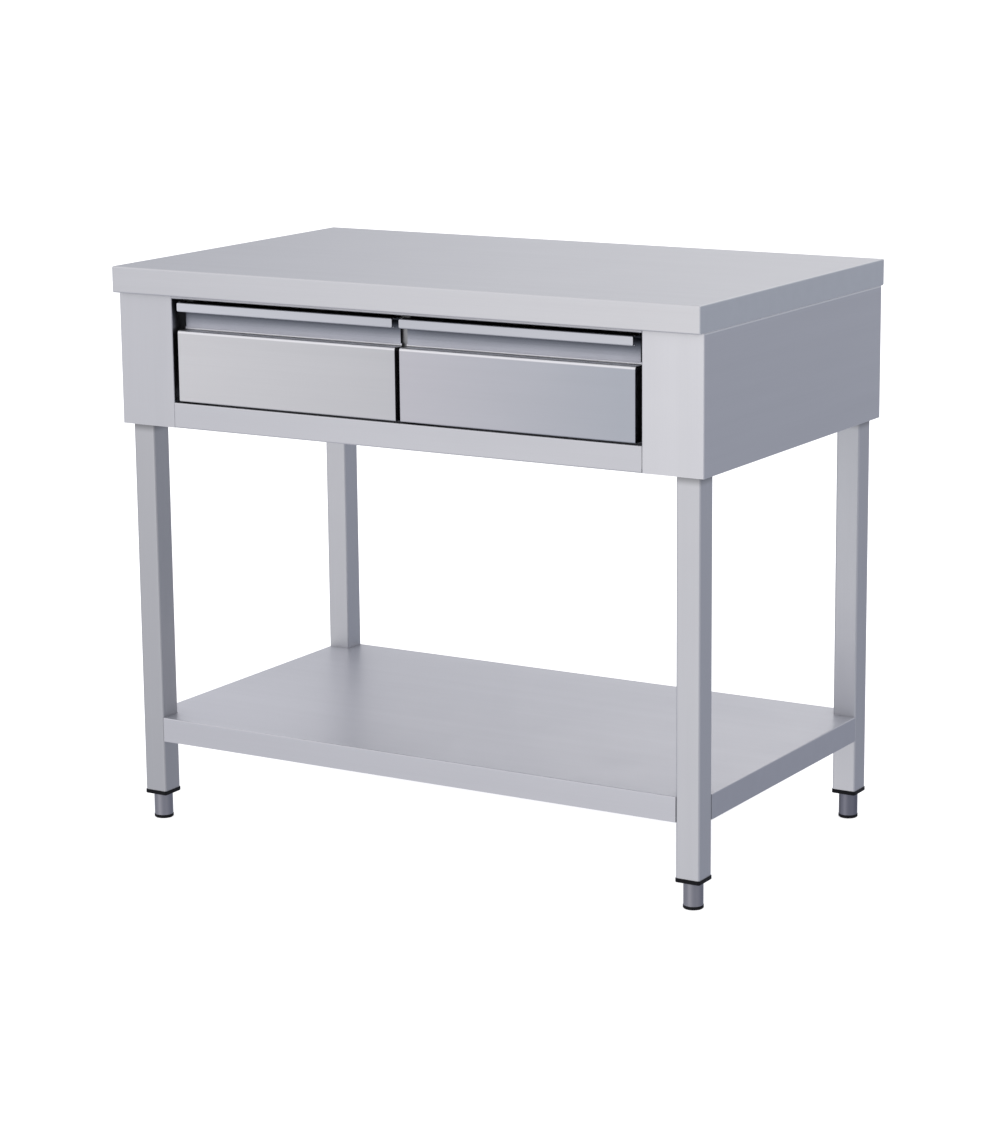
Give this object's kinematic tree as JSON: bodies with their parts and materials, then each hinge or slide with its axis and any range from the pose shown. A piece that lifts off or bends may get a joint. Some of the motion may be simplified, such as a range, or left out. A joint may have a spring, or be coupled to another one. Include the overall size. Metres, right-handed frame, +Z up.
{
  "type": "stainless steel work table with two drawers and a lower shelf",
  "caption": "Rectangular stainless steel kitchen work table with a skirted top, two side-by-side drawers with finger grips, a lower shelf and square legs on levelling feet.",
  "frame": {"origin": "on the floor, under the middle of the worktop", "axes": "+Z up; +X along the worktop's length, to the user's right; +Y towards the back, so the drawers open towards -Y"},
  "size_m": [1, 0.6, 0.87],
  "materials": {
    "worktop_stainless": "satin brushed along the length",
    "casing_stainless": "satin brushed",
    "drawer_stainless": "satin brushed across the front",
    "shelf_stainless": "satin brushed along the length",
    "leg_stainless": "satin brushed along the tube",
    "runner_support_steel": "mill finish sheet",
    "zinc_steel": "bright zinc plated",
    "cage_steel": "pressed steel cage with bright balls, greased",
    "foot_steel": "satin turned",
    "black_plastic": "moulded, fine grain",
    "black_pad": "moulded, matt",
    "buffer_rubber": "moulded, matt",
    "core_board": "bare laminated board"
  },
  "bodies": {
    "table": {"centre_divider": "runner_support_steel", "core_screws": "zinc_steel", "front_bottom_rail": "casing_stainless", "front_top_rail": "casing_stainless", "left_drawer_outer_runner_left": "zinc_steel", "left_drawer_outer_runner_right": "zinc_steel", "left_runner_support": "runner_support_steel", "left_side_panel": "casing_stainless", "leg_front_left": "leg_stainless", "leg_front_right": "leg_stainless", "leg_head_plates": "runner_support_steel", "leg_plug_front_left": "black_plastic", "leg_plug_front_right": "black_plastic", "leg_plug_rear_left": "black_plastic", "leg_plug_rear_right": "black_plastic", "leg_rear_left": "leg_stainless", "leg_rear_right": "leg_stainless", "levelling_nuts": "zinc_steel", "lower_shelf": "shelf_stainless", "rear_panel": "casing_stainless", "right_drawer_outer_runner_left": "zinc_steel", "right_drawer_outer_runner_right": "zinc_steel", "right_runner_support": "runner_support_steel", "right_side_panel": "casing_stainless", "runner_buffers": "buffer_rubber", "runner_screws": "zinc_steel", "shelf_bolts": "zinc_steel", "shelf_stiffener": "shelf_stainless", "worktop_core_board": "core_board", "worktop_skin": "worktop_stainless"},
    "left_drawer": {"left_drawer_tray": "drawer_stainless", "left_drawer_front": "drawer_stainless", "left_drawer_inner_runner_left": "zinc_steel", "left_drawer_inner_runner_right": "zinc_steel", "left_drawer_rivets": "zinc_steel"},
    "left_drawer_middle_runners": {"left_drawer_middle_runner_left": "zinc_steel", "left_drawer_middle_runner_right": "zinc_steel"},
    "left_drawer_outer_cages": {"left_drawer_outer_ball_cages": "cage_steel"},
    "left_drawer_inner_cages": {"left_drawer_inner_ball_cages": "cage_steel"},
    "right_drawer": {"right_drawer_tray": "drawer_stainless", "right_drawer_front": "drawer_stainless", "right_drawer_inner_runner_left": "zinc_steel", "right_drawer_inner_runner_right": "zinc_steel", "right_drawer_rivets": "zinc_steel"},
    "right_drawer_middle_runners": {"right_drawer_middle_runner_left": "zinc_steel", "right_drawer_middle_runner_right": "zinc_steel"},
    "right_drawer_outer_cages": {"right_drawer_outer_ball_cages": "cage_steel"},
    "right_drawer_inner_cages": {"right_drawer_inner_ball_cages": "cage_steel"},
    "foot_front_left": {"foot_pad_front_left": "black_pad"},
    "foot_spindle_front_left": {"foot_sleeve_front_left": "foot_steel", "foot_screw_front_left": "foot_steel"},
    "foot_front_right": {"foot_pad_front_right": "black_pad"},
    "foot_spindle_front_right": {"foot_sleeve_front_right": "foot_steel", "foot_screw_front_right": "foot_steel"},
    "foot_rear_left": {"foot_pad_rear_left": "black_pad"},
    "foot_spindle_rear_left": {"foot_sleeve_rear_left": "foot_steel", "foot_screw_rear_left": "foot_steel"},
    "foot_rear_right": {"foot_pad_rear_right": "black_pad"},
    "foot_spindle_rear_right": {"foot_sleeve_rear_right": "foot_steel", "foot_screw_rear_right": "foot_steel"}
  },
  "joints": [
    {"name": "left_drawer_slide", "type": "slide", "parent": "table", "child": "left_drawer", "axis": [0, -1, 0], "range_m": [0, 0.45]},
    {"name": "left_drawer_middle_runners_slide", "type": "slide", "parent": "table", "child": "left_drawer_middle_runners", "axis": [0, -1, 0], "range_m": [0, 0.2255]},
    {"name": "left_drawer_outer_cages_slide", "type": "slide", "parent": "table", "child": "left_drawer_outer_cages", "axis": [0, -1, 0], "range_m": [0, 0.113]},
    {"name": "left_drawer_inner_cages_slide", "type": "slide", "parent": "table", "child": "left_drawer_inner_cages", "axis": [0, -1, 0], "range_m": [0, 0.338]},
    {"name": "right_drawer_slide", "type": "slide", "parent": "table", "child": "right_drawer", "axis": [0, -1, 0], "range_m": [0, 0.45]},
    {"name": "right_drawer_middle_runners_slide", "type": "slide", "parent": "table", "child": "right_drawer_middle_runners", "axis": [0, -1, 0], "range_m": [0, 0.2255]},
    {"name": "right_drawer_outer_cages_slide", "type": "slide", "parent": "table", "child": "right_drawer_outer_cages", "axis": [0, -1, 0], "range_m": [0, 0.113]},
    {"name": "right_drawer_inner_cages_slide", "type": "slide", "parent": "table", "child": "right_drawer_inner_cages", "axis": [0, -1, 0], "range_m": [0, 0.338]},
    {"name": "foot_height_front_left", "type": "slide", "parent": "table", "child": "foot_front_left", "axis": [0, 0, -1], "range_m": [0, 0.03]},
    {"name": "foot_screw_turn_front_left", "type": "hinge", "parent": "foot_front_left", "child": "foot_spindle_front_left", "pos_m": [-0.4685, -0.255, 0.02], "axis": [0, 0, -1], "range_deg": [0, 7201]},
    {"name": "foot_height_front_right", "type": "slide", "parent": "table", "child": "foot_front_right", "axis": [0, 0, -1], "range_m": [0, 0.03]},
    {"name": "foot_screw_turn_front_right", "type": "hinge", "parent": "foot_front_right", "child": "foot_spindle_front_right", "pos_m": [0.4685, -0.255, 0.02], "axis": [0, 0, -1], "range_deg": [0, 7201]},
    {"name": "foot_height_rear_left", "type": "slide", "parent": "table", "child": "foot_rear_left", "axis": [0, 0, -1], "range_m": [0, 0.03]},
    {"name": "foot_screw_turn_rear_left", "type": "hinge", "parent": "foot_rear_left", "child": "foot_spindle_rear_left", "pos_m": [-0.4685, 0.265, 0.02], "axis": [0, 0, -1], "range_deg": [0, 7201]},
    {"name": "foot_height_rear_right", "type": "slide", "parent": "table", "child": "foot_rear_right", "axis": [0, 0, -1], "range_m": [0, 0.03]},
    {"name": "foot_screw_turn_rear_right", "type": "hinge", "parent": "foot_rear_right", "child": "foot_spindle_rear_right", "pos_m": [0.4685, 0.265, 0.02], "axis": [0, 0, -1], "range_deg": [0, 7201]}
  ],
  "couplings": [
    {"joint": "left_drawer_middle_runners_slide", "follows": "left_drawer_slide", "ratio": 0.5},
    {"joint": "left_drawer_outer_cages_slide", "follows": "left_drawer_slide", "ratio": 0.25},
    {"joint": "left_drawer_inner_cages_slide", "follows": "left_drawer_slide", "ratio": 0.75},
    {"joint": "right_drawer_middle_runners_slide", "follows": "right_drawer_slide", "ratio": 0.5},
    {"joint": "right_drawer_outer_cages_slide", "follows": "right_drawer_slide", "ratio": 0.25},
    {"joint": "right_drawer_inner_cages_slide", "follows": "right_drawer_slide", "ratio": 0.75},
    {"joint": "foot_screw_turn_front_left", "follows": "foot_height_front_left", "rad_per_m": 4188.8},
    {"joint": "foot_screw_turn_front_right", "follows": "foot_height_front_right", "rad_per_m": 4188.8},
    {"joint": "foot_screw_turn_rear_left", "follows": "foot_height_rear_left", "rad_per_m": 4188.8},
    {"joint": "foot_screw_turn_rear_right", "follows": "foot_height_rear_right", "rad_per_m": 4188.8}
  ]
}
